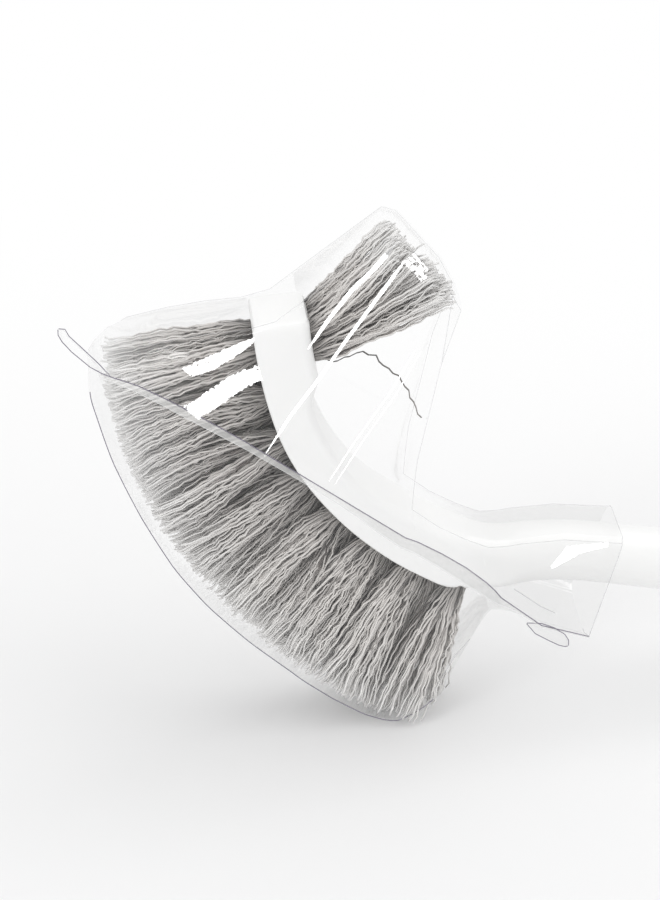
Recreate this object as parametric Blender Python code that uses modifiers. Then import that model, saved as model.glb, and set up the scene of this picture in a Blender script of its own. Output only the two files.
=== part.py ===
"""Toilet brush with a curved head, rows of crimped tufts, a group of tufts under its tip, and a clear film cover."""

import math

import bmesh
import bpy
from mathutils import Matrix, Vector

# Moulding: one piece of plastic from the tip of the head to the end of the grip.
# Distances along it are measured down its outer face, which carries the tufts.
HEAD_LENGTH = 0.141
HEAD_WIDTH = 0.024
NECK_LENGTH = 0.035
NECK_WIDTH = 0.0195
HANDLE_LENGTH = 0.262
HANDLE_DIAMETER = 0.0206
GRIP_DIAMETER = 0.0246
GRIP_START = 0.09
STRIP_THICKNESS = 0.0134
HEEL_THICKNESS = 0.0182
BLOCK_LENGTH = 0.021
BLOCK_THICKNESS = 0.0182
BLOCK_STEP = 0.009
EDGE_RADIUS = 0.0022
SIDE_RADIUS = 0.003
HEEL_RADIUS = 0.006
GRIP_END_ROUND = 0.004
STATION_STEP = 0.008
PATH_STEP = 0.001
CORNER_POINTS = 5

# Headings in degrees, by share of the head and then of the neck.
HEAD_HEADING_SHARES = ((0, -86), (0.25, -74), (0.64, -41), (0.86, -32), (1, -8))
NECK_HEADING_SHARES = ((0.4, 2), (1, -9.5))

# Strand length along the head, by share of the head and share of the length.
LENGTH_SHARES = ((0, 1), (0.45, 0.97), (0.88, 1.08), (0.935, 1.05), (0.985, 0.82))

# Tufts: holes in staggered rows, each with a plug of strands and the metal anchor that holds it.
TUFTS_IN_ROW = 8
FIRST_TUFT = 0.0105
TUFT_PITCH = (HEAD_LENGTH - 2 * FIRST_TUFT) / (TUFTS_IN_ROW - 1)
ROW_PITCH = 0.0075
HOLE_DIAMETER = 0.0058
HOLE_DEPTH = 0.0075
GAP = 0.0003
HOLE_SIDES = 8
CUT_OVERRUN = 0.002
STRANDS = 12
STRAND_SIDES = 3
STRAND_DIAMETER = 0.0009
STRAND_TIP_SHARE = 0.7
STRAND_SINK = 0.0012
ROOT_RADIUS = 0.0019
BRISTLE_LENGTH = 0.051
TIP_ROW_PITCH = 0.0108
TIP_TRIM = 0.003
TIP_SPREAD_SHARE = 0.88
HEEL_LEAN = 10
TOP_LEAN = 9
CRIMP = 0.0009
CRIMP_SHARES = (0.35, 0.68)
ANCHOR_THICKNESS = 0.0005
ANCHOR_HEIGHT = 0.0022
ANCHOR_LENGTH = 0.0042

# Group of tufts on the inner side of the tip.
RIM_TUFTS = ((0.27, -1), (0.27, 1), (0.78, -1), (0.78, 1))
RIM_PITCH = 0.0105
RIM_HOLE_LEAN = 10
RIM_LENGTH = 0.044
RIM_ANGLE = 35
RIM_CUT_ANGLE = 41
RIM_FAN = 16
RIM_TIP_PITCH = 0.0125

# Cover: one bag of clear film, welded along a fin on its near side, with its mouth round the neck.
FILM = 0.0003
FILM_CLEARANCE = 0.001
FILM_SLACK = 0.0025
FILM_CORNER = 0.0045
FILM_CORNER_POINTS = 4
SEAM_ANGLE = -37
SEAM_CROSSING_SHARE = 0.305
SEAM_HALF_WIDTH = 0.0195
FIN_WIDTH = 0.0042
FIN_ANGLE = 50
EAR_LENGTH = 0.020
EAR_WIDTH = 0.0015
BAG_END_HALF_WIDTH = 0.012
WELD_DROP = 0.003
MOUTH_REACH = 0.006
MOUTH_HALF_WIDTH = 0.0135
MOUTH_DROP = 0.0025
MOUTH_SLANT = 0.0133
HEEL_ROOM = 0.0045
NECK_ROOM = 0.0095
RIM_ROOM = 1.5

# Rows of the bag, by share of the tufted length below and of the way to the tip or of the head above.
WRAP_SHARES = (0.03, 0.1, 0.2, 0.33, 0.46, 0.58, 0.7, 0.8, 0.88, 0.945, 1)
WELD_HALF_SHARES = (0.62, 0.88, 0.94, 0.98, 1, 1, 1, 1, 1, 1, 1, 0.98, 0.95, 0.92, 0.85)
WELD_DROP_SHARES = (3.8, 2.9, 2, 1.5, 1.2, 1, 1, 1, 1, 1, 1, 1.2, 1.4, 1.6, 0.2)
OVER_TUFTS_SHARES = ((0.1, 0.12), (0.4, 0.48), (0.7, 0.77))
OVER_HEEL_SHARES = (0.72, 0.78, 0.86, 0.96, 1.08, 1.17)

WHITE_PLASTIC = ("white_plastic", (0.86, 0.86, 0.85, 1), 0.35, 0)
BRISTLE_FIBRE = ("bristle_fibre", (0.52, 0.5, 0.48, 1), 0.55, 0)
ANCHOR_STEEL = ("anchor_steel", (0.6, 0.6, 0.6, 1), 0.35, 1)
CLEAR_FILM = ("clear_film", (0.9, 0.92, 0.93, 0.25), 0.08, 0)


def clear_scene():
    for obj in list(bpy.data.objects):
        bpy.data.objects.remove(obj, do_unlink=True)


def new_collection(name):
    collection = bpy.data.collections.new(name)
    bpy.context.scene.collection.children.link(collection)
    return collection


def material_of(look):
    name, colour, roughness, metallic = look
    material = bpy.data.materials.get(name) or bpy.data.materials.new(name)
    material.use_nodes = True
    shader = material.node_tree.nodes["Principled BSDF"]
    shader.inputs["Base Color"].default_value = colour
    shader.inputs["Alpha"].default_value = colour[3]
    shader.inputs["Roughness"].default_value = roughness
    shader.inputs["Metallic"].default_value = metallic
    return material


def object_from(name, bm, collection, look=None):
    mesh = bpy.data.meshes.new(name)
    bm.to_mesh(mesh)
    bm.free()
    obj = bpy.data.objects.new(name, mesh)
    collection.objects.link(obj)
    if look:
        mesh.materials.append(material_of(look))
    return obj


def helper_from(name, bm, collection):
    helper = object_from(name, bm, collection)
    helper.hide_render = True
    helper.display_type = "WIRE"
    return helper


def add_boolean(obj, other, operation):
    modifier = obj.modifiers.new(other.name, "BOOLEAN")
    modifier.operation = operation
    modifier.object = other
    modifier.solver = "EXACT"


def shade_round(obj, degrees):
    obj.data.shade_smooth()
    obj.data.set_sharp_from_angle(angle=math.radians(degrees))


def unit(degrees):
    """Unit vector in the brush's plane, at this angle above +X."""
    angle = math.radians(degrees)
    return Vector((math.cos(angle), 0, math.sin(angle)))


def mixed(table, at):
    """Value of a (place, values...) table at this place, eased between its rows."""
    if at <= table[0][0]:
        return table[0][1:]
    for before, after in zip(table, table[1:]):
        if at <= after[0]:
            share = (at - before[0]) / (after[0] - before[0])
            share = share * share * (3 - 2 * share)
            return tuple(a + (b - a) * share for a, b in zip(before[1:], after[1:]))
    return table[-1][1:]


def turned(knots, at):
    """Heading at this distance, changing evenly between knots."""
    for (start, first), (end, second) in zip(knots, knots[1:]):
        if at <= end:
            return first + (second - first) * max(0, at - start) / (end - start)
    return knots[-1][1]


class Path:
    """Line down the middle of the outer face, from the tip of the head to the end of the grip."""

    def __init__(self):
        self.knots = [(share * HEAD_LENGTH, heading) for share, heading in HEAD_HEADING_SHARES]
        self.knots += [
            (HEAD_LENGTH + share * NECK_LENGTH, heading) for share, heading in NECK_HEADING_SHARES
        ]
        self.points = [Vector((0, 0, 0))]
        self.straight_from = HEAD_LENGTH + NECK_LENGTH
        self.slope = self.knots[-1][1]
        while len(self.points) * PATH_STEP < self.straight_from + PATH_STEP:
            middle = (len(self.points) - 1 / 2) * PATH_STEP
            self.points.append(self.points[-1] + unit(turned(self.knots, middle)) * PATH_STEP)
        drop = self.point(self.straight_from).z - self.lowest()
        self.slope = -math.degrees(math.asin(drop / (HANDLE_LENGTH - GRIP_END_ROUND)))

    def heading(self, at):
        return self.slope if at >= self.straight_from else turned(self.knots, at)

    def point(self, at):
        if at > self.straight_from:
            return self.point(self.straight_from) + unit(self.slope) * (at - self.straight_from)
        place = at / PATH_STEP
        index = min(int(place), len(self.points) - 2)
        index = max(index, 0)
        return self.points[index].lerp(self.points[index + 1], place - index)

    def outward(self, at):
        return unit(self.heading(at) - 90)

    def inward(self, at):
        return unit(self.heading(at) + 90)

    def bristle_way(self, at):
        share = at / HEAD_LENGTH
        lean = HEEL_LEAN * share**2 + TOP_LEAN * (1 - share) ** 3
        return unit(self.heading_of_face(at) - 90 + lean)

    def heading_of_face(self, at):
        """Heading of the brush face, without the last turn into the neck."""
        last = HEAD_HEADING_SHARES[-2][0] * HEAD_LENGTH
        if at <= last:
            return turned(self.knots, at)
        before = HEAD_HEADING_SHARES[-3][0] * HEAD_LENGTH
        rate = (turned(self.knots, last) - turned(self.knots, before)) / (last - before)
        return turned(self.knots, last) + rate * (at - last)

    def tip(self, at, more=0):
        """End of a strand that grows here, or a point this much further out."""
        length = BRISTLE_LENGTH * mixed(LENGTH_SHARES, at / HEAD_LENGTH)[0]
        return self.point(at) + self.bristle_way(at) * (length + more)

    def wrap(self, share):
        """Point of the film round the tips, by share of the tufted length."""
        first = FIRST_TUFT - TUFT_PITCH / 2
        at = first + TUFT_PITCH * TUFTS_IN_ROW * share
        return self.tip(at, FILM_CLEARANCE * (1 + share) + FILM_SLACK * (1 - share) ** 2)

    def lowest(self):
        """Height of the floor: the lowest point of the film that wraps the tufts."""
        return min(self.wrap(share).z for share in WRAP_SHARES) - FILM


def head_table():
    """Rows of distance, outer face offset, width, thickness and corner radius, down the moulding."""
    end = HEAD_LENGTH + NECK_LENGTH + HANDLE_LENGTH
    grip = HEAD_LENGTH + NECK_LENGTH + GRIP_START
    neck = HEAD_LENGTH + NECK_LENGTH / 2
    small = GRIP_DIAMETER - 2 * GRIP_END_ROUND
    return (
        (0, EDGE_RADIUS, HEAD_WIDTH - 2 * EDGE_RADIUS, BLOCK_THICKNESS - 2 * EDGE_RADIUS, EDGE_RADIUS),
        (EDGE_RADIUS, 0, HEAD_WIDTH, BLOCK_THICKNESS, SIDE_RADIUS),
        (BLOCK_LENGTH, 0, HEAD_WIDTH, BLOCK_THICKNESS, SIDE_RADIUS),
        (BLOCK_LENGTH + BLOCK_STEP, 0, HEAD_WIDTH, STRIP_THICKNESS, SIDE_RADIUS),
        (HEAD_LENGTH / 2, 0, HEAD_WIDTH, STRIP_THICKNESS, SIDE_RADIUS),
        (HEAD_LENGTH - NECK_LENGTH / 2, 0, (HEAD_WIDTH + NECK_WIDTH) / 2, HEEL_THICKNESS, HEEL_RADIUS),
        (HEAD_LENGTH, 0, NECK_WIDTH, HEEL_THICKNESS, HEEL_RADIUS),
        (neck, 0, HANDLE_DIAMETER, HANDLE_DIAMETER, HANDLE_DIAMETER / 2),
        (HEAD_LENGTH + NECK_LENGTH, 0, HANDLE_DIAMETER, HANDLE_DIAMETER, HANDLE_DIAMETER / 2),
        (grip, 0, GRIP_DIAMETER, GRIP_DIAMETER, GRIP_DIAMETER / 2),
        (end - GRIP_END_ROUND, 0, GRIP_DIAMETER, GRIP_DIAMETER, GRIP_DIAMETER / 2),
        (end, GRIP_END_ROUND, small, small, small / 2),
    )


def thickness_at(at):
    return mixed(head_table(), at)[2]


def rounded_section(width, thickness, corner):
    """Points (across, along thickness) of a rounded rectangle about its centre."""
    points = []
    for quarter in range(4):
        side = 1 if quarter in (0, 3) else -1
        rise = 1 if quarter in (0, 1) else -1
        for step in range(CORNER_POINTS):
            angle = math.radians(90) * (quarter + step / CORNER_POINTS + 1 / (2 * CORNER_POINTS))
            across = side * (width / 2 - corner) + corner * math.cos(angle)
            points.append((across, rise * (thickness / 2 - corner) + corner * math.sin(angle)))
    return points


def head_stations():
    """Distances of the loft's rings: at every row of the table and evenly between."""
    rows = [row[0] for row in head_table()]
    stations = []
    for start, end in zip(rows, rows[1:]):
        count = max(1, round((end - start) / STATION_STEP))
        if start >= HEAD_LENGTH + NECK_LENGTH:
            count = 1
        stations += [start + (end - start) * step / count for step in range(count)]
    return stations + [rows[-1]]


def build_moulding(path, collection):
    """Loft from the boxy head through the heel and neck to the round grip."""
    bm = bmesh.new()
    rings = []
    for at in head_stations():
        offset, width, thickness, corner = mixed(head_table(), at)
        centre = path.point(at) + path.inward(at) * (offset + thickness / 2)
        across, inward = Vector((0, 1, 0)), path.inward(at)
        section = rounded_section(width, thickness, corner)
        rings.append([bm.verts.new(centre + across * a + inward * b) for a, b in section])
    for first, second in zip(rings, rings[1:]):
        for index in range(len(first)):
            after = (index + 1) % len(first)
            bm.faces.new((first[index], first[after], second[after], second[index]))
    bm.faces.new(rings[0])
    bm.faces.new(rings[-1])
    bmesh.ops.recalc_face_normals(bm, faces=bm.faces)
    moulding = object_from("head_and_handle", bm, collection, WHITE_PLASTIC)
    shade_round(moulding, 40)
    return moulding


class Tuft:
    """One tuft: where its hole opens, which way it points, and where its strands end."""

    def __init__(self, name, place, way, tip_of):
        self.name = name
        self.place = place
        self.way = way
        self.along = way.cross(Vector((0, 1, 0))).normalized()
        self.tip_of = tip_of

    def frame(self):
        """Matrix whose Z runs out of the hole, Y across the brush and X along the row."""
        across = Vector((0, 1, 0))
        turn = Matrix((across.cross(self.way), across, self.way)).transposed()
        return Matrix.Translation(self.place) @ turn.to_4x4()


def main_tufts(path):
    """Outer rows have one tuft more than the middle row, which stands in their gaps."""
    tufts = []
    for row, side in (("near", -1), ("middle", 0), ("far", 1)):
        shift = TUFT_PITCH / 2 if side == 0 else 0
        for index in range(TUFTS_IN_ROW - (side == 0)):
            at = FIRST_TUFT + shift + index * TUFT_PITCH

            def tip_of(a, b, at=at, side=side):
                across = side * TIP_ROW_PITCH + b * TIP_ROW_PITCH / 2 * TIP_SPREAD_SHARE
                place = at - a * TUFT_PITCH / 2 * TIP_SPREAD_SHARE
                widest = TIP_ROW_PITCH * 3 / 2
                tip = path.tip(place, -TIP_TRIM * (across / widest) ** 2)
                return tip + Vector((0, across, 0))

            place = path.point(at) + Vector((0, side * ROW_PITCH, 0))
            tufts.append(Tuft(f"tuft_{row}_{index + 1}", place, path.outward(at), tip_of))
    return tufts


def rim_place(path, share):
    """Point of the tip block's inner face, by share of the block's length."""
    at = BLOCK_LENGTH * share
    return path.point(at) + path.inward(at) * BLOCK_THICKNESS


def rim_end(path, place, angle, more=0):
    """Point on the plane that cuts the group of tufts, or this much beyond it."""
    cut, way = unit(RIM_CUT_ANGLE), unit(angle)
    reach = RIM_LENGTH + more - (place - rim_place(path, 1 / 2)).dot(cut)
    return place + way * reach / way.dot(cut)


def rim_tufts(path):
    """Tufts in the inner face of the tip block, fanned out and cut along one plane."""
    tufts = []
    for index, (share, side) in enumerate(RIM_TUFTS):
        place = rim_place(path, share)
        middle = RIM_ANGLE + RIM_FAN / 2 * (1 if share < 1 / 2 else -1)

        def tip_of(a, b, place=place, side=side, middle=middle):
            across = side * RIM_TIP_PITCH / 2 + b * RIM_TIP_PITCH / 2 * TIP_SPREAD_SHARE
            trim = -TIP_TRIM * (across / RIM_TIP_PITCH) ** 2
            angle = middle - a * RIM_FAN / 2 * TIP_SPREAD_SHARE
            return rim_end(path, place, angle, trim) + Vector((0, across, 0))

        place_here = place + Vector((0, side * RIM_PITCH / 2, 0))
        way = unit(middle - RIM_HOLE_LEAN)
        tufts.append(Tuft(f"tuft_rim_{index + 1}", place_here, way, tip_of))
    return tufts


def prism(bm, radius, bottom, top, matrix, sides=HOLE_SIDES):
    shape = bmesh.ops.create_cone(
        bm,
        cap_ends=True,
        segments=sides,
        radius1=radius,
        radius2=radius,
        depth=top - bottom,
        matrix=matrix @ Matrix.Translation((0, 0, (top + bottom) / 2)),
    )
    return shape["verts"]


def box(bm, size, centre, matrix):
    scale = Matrix.Diagonal((*size, 1))
    bmesh.ops.create_cube(bm, size=1, matrix=matrix @ Matrix.Translation(centre) @ scale)


def build_hole_cutter(tufts, cutters):
    bm = bmesh.new()
    for tuft in tufts:
        prism(bm, HOLE_DIAMETER / 2, -HOLE_DEPTH, HOLE_DEPTH / 2 + CUT_OVERRUN, tuft.frame())
    return helper_from("tuft_holes", bm, cutters)


def sunflower(count):
    """Evenly spread points (a, b) of the unit disc."""
    turn = math.pi * (3 - math.sqrt(5))
    for index in range(count):
        radius = math.sqrt((index + 1 / 2) / count)
        yield radius * math.cos(index * turn), radius * math.sin(index * turn)


def add_strand(bm, points, radii):
    """Thin tube through the points, closed at both ends."""
    way = (points[-1] - points[0]).normalized()
    across = Vector((0, 1, 0))
    side = across.cross(way).normalized()
    up = way.cross(side)
    rings = []
    for point, radius in zip(points, radii):
        ring = []
        for corner in range(STRAND_SIDES):
            angle = 2 * math.pi * corner / STRAND_SIDES
            ring.append(bm.verts.new(point + (side * math.cos(angle) + up * math.sin(angle)) * radius))
        rings.append(ring)
    for first, second in zip(rings, rings[1:]):
        for index in range(STRAND_SIDES):
            after = (index + 1) % STRAND_SIDES
            bm.faces.new((first[index], first[after], second[after], second[index]))
    bm.faces.new(rings[0])
    bm.faces.new(rings[-1])


def build_strands(tuft, cutters):
    """Strands of a tuft: they spread from the plug to their share of the brush's outer surface."""
    bm = bmesh.new()
    frame = tuft.frame()
    along = frame.to_3x3() @ Vector((1, 0, 0))
    for a, b in sunflower(STRANDS):
        base = frame @ Vector((a * ROOT_RADIUS, b * ROOT_RADIUS, -STRAND_SINK))
        tip = tuft.tip_of(a, b)
        points = [base]
        for index, share in enumerate(CRIMP_SHARES):
            points.append(base.lerp(tip, share) + along * CRIMP * (-1) ** index)
        points.append(tip)
        thick, thin = STRAND_DIAMETER / 2, STRAND_DIAMETER / 2 * STRAND_TIP_SHARE
        shares = (0, *CRIMP_SHARES, 1)
        add_strand(bm, points, [thick + (thin - thick) * share for share in shares])
    bmesh.ops.recalc_face_normals(bm, faces=bm.faces)
    return helper_from(tuft.name + "_strands", bm, cutters)


def build_tuft(tuft, collection, cutters):
    """Plug of the tuft, slotted below for its anchor, with the strands fused to it."""
    bm = bmesh.new()
    prism(bm, HOLE_DIAMETER / 2 - GAP, GAP - HOLE_DEPTH, 0, tuft.frame())
    plug = object_from(tuft.name, bm, collection, BRISTLE_FIBRE)
    bm = bmesh.new()
    slot_height = ANCHOR_HEIGHT + GAP + CUT_OVERRUN
    size = (HOLE_DIAMETER + CUT_OVERRUN, ANCHOR_THICKNESS + 2 * GAP, slot_height)
    middle = GAP - HOLE_DEPTH + ANCHOR_HEIGHT + GAP - slot_height / 2
    box(bm, size, (0, 0, middle), tuft.frame())
    slot = helper_from(tuft.name + "_slot", bm, cutters)
    add_boolean(plug, slot, "DIFFERENCE")
    add_boolean(plug, build_strands(tuft, cutters), "UNION")
    return plug


def build_anchor(tuft, collection):
    """Metal plate at the bottom of the hole, which holds the fold of the tuft."""
    bm = bmesh.new()
    size = (ANCHOR_LENGTH, ANCHOR_THICKNESS, ANCHOR_HEIGHT)
    box(bm, size, (0, 0, GAP - HOLE_DEPTH + ANCHOR_HEIGHT / 2), tuft.frame())
    return object_from(tuft.name.replace("tuft", "anchor"), bm, collection, ANCHOR_STEEL)


class Seam:
    """Plane of the cover's weld: its u runs from the left ear to the right ear, its v up and right."""

    def __init__(self, path):
        self.origin = path.point(SEAM_CROSSING_SHARE * HEAD_LENGTH)
        self.u = unit(SEAM_ANGLE)
        self.v = unit(SEAM_ANGLE + 90)

    def flat(self, point):
        return (point - self.origin).dot(self.u), (point - self.origin).dot(self.v)

    def solid(self, u, y, v):
        return self.origin + self.u * u + self.v * v + Vector((0, y, 0))


def rows_below(path, seam):
    """Rows (u, v, half width) of the bag round the tufts and under the heel."""
    tips = TIP_ROW_PITCH * 3 / 2 + FILM_CLEARANCE
    rows = [(*seam.flat(path.wrap(share)), tips) for share in WRAP_SHARES]
    heel = seam.flat(path.point(HEAD_LENGTH) + path.outward(HEAD_LENGTH) * HEEL_ROOM)
    rows.append((*heel, (tips + MOUTH_HALF_WIDTH) / 2))
    neck_at = HEAD_LENGTH + NECK_LENGTH / 2
    neck = seam.flat(path.point(neck_at) + path.outward(neck_at) * NECK_ROOM)
    rows.append((*neck, MOUTH_HALF_WIDTH))
    rows.append((mouth_top(path, seam)[0] + MOUTH_SLANT, -MOUTH_DROP, MOUTH_HALF_WIDTH))
    return rows


def rows_above(path, seam, left):
    """Rows of the bag over the first tufts, the tip, the tufts under it, the heel and the neck."""
    first, last = RIM_TUFTS[0][0], RIM_TUFTS[-1][0]
    high = rim_end(path, rim_place(path, first), RIM_ANGLE + RIM_FAN + RIM_ROOM, FILM_CLEARANCE)
    low = rim_end(path, rim_place(path, last), RIM_ANGLE - RIM_FAN - RIM_ROOM, FILM_CLEARANCE)
    half = HEAD_WIDTH / 2 + FILM_CLEARANCE
    over_tip = path.point(0) - unit(path.heading(0)) * 2 * FILM_CLEARANCE
    u, v = seam.flat(over_tip)
    rows = [(left + (u - left) * along, v * up, half) for along, up in OVER_TUFTS_SHARES]
    rows += [
        (*seam.flat(over_tip), half),
        (*seam.flat(over_tip + path.inward(0) * BLOCK_THICKNESS / 2), half),
        (*seam.flat(high), RIM_TIP_PITCH + FILM_CLEARANCE),
        (*seam.flat(low), RIM_TIP_PITCH + FILM_CLEARANCE),
    ]
    for share in OVER_HEEL_SHARES:
        at = share * HEAD_LENGTH
        room = FILM_CLEARANCE + FILM_SLACK * max(0, share - OVER_HEEL_SHARES[0])
        place = path.point(at) + path.inward(at) * (thickness_at(at) + room)
        rows.append((*seam.flat(place), half))
    return rows + [(*mouth_top(path, seam), MOUTH_HALF_WIDTH)]


def mouth_top(path, seam):
    """Top of the open mouth, which stands a little off the neck."""
    at = HEAD_LENGTH + NECK_LENGTH + MOUTH_REACH
    return seam.flat(path.point(at) + path.inward(at) * (thickness_at(at) + FILM_SLACK))


def bag_rows(path, seam):
    """Rows of the bag: place of the weld (u, v, half width), then what lies below and above it."""
    below = rows_below(path, seam)
    left = below[0][0]
    above = rows_above(path, seam, left)
    end = -WELD_DROP * WELD_DROP_SHARES[0]
    below = [(left, end - GAP, BAG_END_HALF_WIDTH), *below]
    above = [(left, end + GAP, BAG_END_HALF_WIDTH), *above]
    rows = []
    for low, high, half, drop in zip(below, above, WELD_HALF_SHARES, WELD_DROP_SHARES):
        v = -WELD_DROP * drop
        u = low[0] + (high[0] - low[0]) * (v - low[1]) / (high[1] - low[1])
        rows.append(((u, v, SEAM_HALF_WIDTH * half), low, high))
    return rows


def section_corner(weld, far):
    """Rounded corner (y, v) of the bag's section, from its side to its top or bottom."""
    height = far[1] - weld[1]
    rise = math.copysign(min(FILM_CORNER, abs(height) / 2), height)
    points = []
    for step in range(FILM_CORNER_POINTS + 1):
        angle = math.radians(90) * step / FILM_CORNER_POINTS
        points.append((far[2] + FILM_CORNER * (math.cos(angle) - 1), height + rise * (math.sin(angle) - 1)))
    return points


def bag_section(seam, row):
    """Points of one row: from the fin round the bottom, the far side and the top, back to the fin."""
    weld, low, high = row
    fin = FIN_WIDTH * math.cos(math.radians(FIN_ANGLE)), FIN_WIDTH * math.sin(math.radians(FIN_ANGLE))
    bottom, top = section_corner(weld, low), section_corner(weld, high)
    half = weld[2]
    points = [(-half - fin[0], -GAP / 2 - fin[1]), (-half, -GAP / 2)]
    points += [(-y, v) for y, v in bottom] + bottom[::-1]
    points += [(half, 0)]
    points += top + [(-y, v) for y, v in top[::-1]]
    points += [(-half, GAP / 2), (-half - fin[0] - GAP, GAP / 2 - fin[1])]
    placed = []
    for y, v in points:
        far = low if v < 0 else high
        lean = (far[0] - weld[0]) / (far[1] - weld[1])
        placed.append(seam.solid(weld[0] + lean * v, y, weld[1] + v))
    return placed


def build_cover(path, collection):
    """Open surface through the rows, with an ear at the closed end, given the film's thickness."""
    seam = Seam(path)
    bm = bmesh.new()
    grid = [[bm.verts.new(point) for point in bag_section(seam, row)] for row in bag_rows(path, seam)]
    for first, second in zip(grid, grid[1:]):
        for index in range(len(first) - 1):
            bm.faces.new((first[index], first[index + 1], second[index + 1], second[index]))
    add_ear(bm, grid[0][:2], seam)
    add_ear(bm, grid[0][-2:], seam)
    cover = object_from("film_cover", bm, collection, CLEAR_FILM)
    shell = cover.modifiers.new("film", "SOLIDIFY")
    shell.thickness = FILM
    shell.offset = 1
    shell.use_even_offset = True
    return cover


def add_ear(bm, ends, seam):
    """Strip that carries one layer of the fin on beyond the end of the bag."""
    middle = (ends[0].co + ends[1].co) / 2
    far = []
    for end in ends:
        way = (end.co - middle).normalized()
        far.append(bm.verts.new(middle + way * EAR_WIDTH / 2 - seam.u * EAR_LENGTH))
    bm.faces.new((far[0], far[1], ends[1], ends[0]))


def rest_on_floor(objects):
    """Moves the whole brush so that the middle of its box is over the origin and its lowest point is on it."""
    bpy.context.view_layer.update()
    graph = bpy.context.evaluated_depsgraph_get()
    corners = []
    for obj in objects:
        ready = obj.evaluated_get(graph)
        corners += [ready.matrix_world @ Vector(corner) for corner in ready.bound_box]
    low = [min(corner[axis] for corner in corners) for axis in range(3)]
    high = [max(corner[axis] for corner in corners) for axis in range(3)]
    shift = Vector((-(low[0] + high[0]) / 2, -(low[1] + high[1]) / 2, -low[2]))
    for obj in bpy.data.objects:
        obj.location += shift


def main():
    clear_scene()
    brush = new_collection("toilet_brush")
    cutters = new_collection("cutters")
    cutters.hide_render = True
    path = Path()
    tufts = main_tufts(path) + rim_tufts(path)
    moulding = build_moulding(path, brush)
    add_boolean(moulding, build_hole_cutter(tufts, cutters), "DIFFERENCE")
    for tuft in tufts:
        build_tuft(tuft, brush, cutters)
        build_anchor(tuft, brush)
    build_cover(path, brush)
    rest_on_floor(brush.objects)


main()
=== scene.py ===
"""Toilet brush that lies on a pale floor.

A white moulding with crimped grey tufts, and a clear film bag round its head. Lengths are in metres
and angles in degrees, unless a comment says otherwise.
"""

import math
import random
from collections import namedtuple

import bmesh
import bpy
import numpy as np
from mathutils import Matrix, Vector
from mathutils.bvhtree import BVHTree


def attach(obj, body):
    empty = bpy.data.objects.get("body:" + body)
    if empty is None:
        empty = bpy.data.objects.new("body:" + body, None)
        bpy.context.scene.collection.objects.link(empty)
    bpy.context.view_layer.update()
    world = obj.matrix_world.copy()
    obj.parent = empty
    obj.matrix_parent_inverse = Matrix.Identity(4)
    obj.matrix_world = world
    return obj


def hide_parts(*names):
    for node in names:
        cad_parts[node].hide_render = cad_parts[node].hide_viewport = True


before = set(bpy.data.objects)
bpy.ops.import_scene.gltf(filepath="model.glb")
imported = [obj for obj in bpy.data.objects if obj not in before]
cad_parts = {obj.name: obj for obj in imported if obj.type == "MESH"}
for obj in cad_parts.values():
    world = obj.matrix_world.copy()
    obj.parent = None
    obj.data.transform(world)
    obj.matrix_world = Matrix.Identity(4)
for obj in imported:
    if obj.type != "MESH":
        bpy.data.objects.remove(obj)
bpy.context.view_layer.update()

# Line down the middle of the outer face, from the tip of the head to the end of the grip.
TIP = Vector((-0.154573, 0.001446, 0.155658))
ACROSS = Vector((0, 1, 0))
HEAD_LENGTH = 0.141
NECK_LENGTH = 0.035
NECK_END = HEAD_LENGTH + NECK_LENGTH
HANDLE_SLOPE = -10.7226
BEND_START, BEND_END = 0.09024, 0.12126
START_HEADING, END_HEADING = -41, -32
HEADINGS = (
    (0, -86), (0.03525, -74), (BEND_START, START_HEADING), (BEND_END, END_HEADING), (HEAD_LENGTH, -8),
    (0.155, 2), (NECK_END, -9.5),
)
PATH_STEP = 0.001

# The tufts keep to the turn of that bend as far as the heel, and turn further at both ends of the head.
BEND_TURN = (END_HEADING - START_HEADING) / (BEND_END - BEND_START)
HEEL_TURN = 10
TIP_TURN = 9

# Moulding: distance, outer face offset, width, thickness, inner corner radius, outer corner radius.
HEAD_ROWS = (
    (0, 0.0022, 0.0196, 0.0138, 0.0022, 0.001),
    (0.0007, 0.0007, 0.0226, 0.0168, 0.0027, 0.001),
    (0.0022, 0, 0.024, 0.0182, 0.003, 0.001),
    (0.0235, 0, 0.024, 0.0182, 0.0033, 0.001),
    (0.036, 0, 0.024, 0.0136, 0.0033, 0.001),
    (0.0705, 0, 0.024, 0.0134, 0.003, 0.001),
    (0.107, -0.0014, 0.0228, 0.0176, 0.0045, 0.001),
    (0.1235, -0.0014, 0.02175, 0.0196, 0.006, 0.0012),
    (0.141, 0, 0.0195, 0.0182, 0.006, 0.004),
    (0.1585, 0, 0.0206, 0.0206, 0.01028, 0.01028),
    (0.176, 0, 0.0206, 0.0206, 0.01028, 0.01028),
    (0.266, 0, 0.0246, 0.0246, 0.01228, 0.01228),
    (0.434, 0, 0.0246, 0.0246, 0.01228, 0.01228),
    (0.4368, 0.0012, 0.0222, 0.0222, 0.01108, 0.01108),
    (0.438, 0.004, 0.0166, 0.0166, 0.00828, 0.00828),
)
HEAD_STATION = 0.003
HANDLE_STATION = 0.02
CORNER_SEGMENTS = 7
# Limits that tell a ring that is still flat at the origin, and a ring's own points, from the others.
FLAT = 1e-7
ON_LINE = 1e-6
FLAT_REACH = 0.015
RING_REACH = 0.02

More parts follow.
